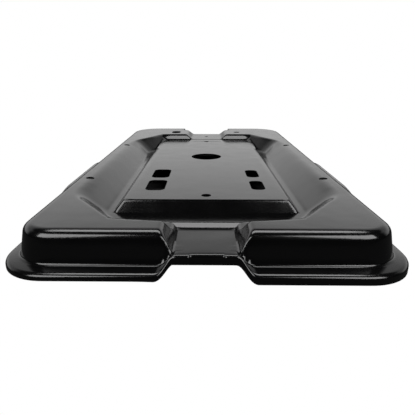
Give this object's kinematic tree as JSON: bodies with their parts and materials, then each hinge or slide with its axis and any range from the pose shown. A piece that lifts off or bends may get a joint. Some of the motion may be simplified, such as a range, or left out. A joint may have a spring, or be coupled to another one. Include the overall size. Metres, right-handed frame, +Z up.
{
  "type": "car battery tray",
  "caption": "Pressed steel battery tray with a raised platform in a basin, a notched rim, a narrow lipped flange and strap slots.",
  "frame": {"origin": "centre of the plan, at the lowest edge of the lip", "axes": "+X to the right seen from the front notch, +Y from the front notch to the rear notch, +Z up, out of the platform"},
  "size_m": [0.345, 0.6508, 0.0365],
  "materials": {
    "black_paint": "gloss"
  },
  "bodies": {
    "root": {"tray": "black_paint"}
  },
  "joints": []
}
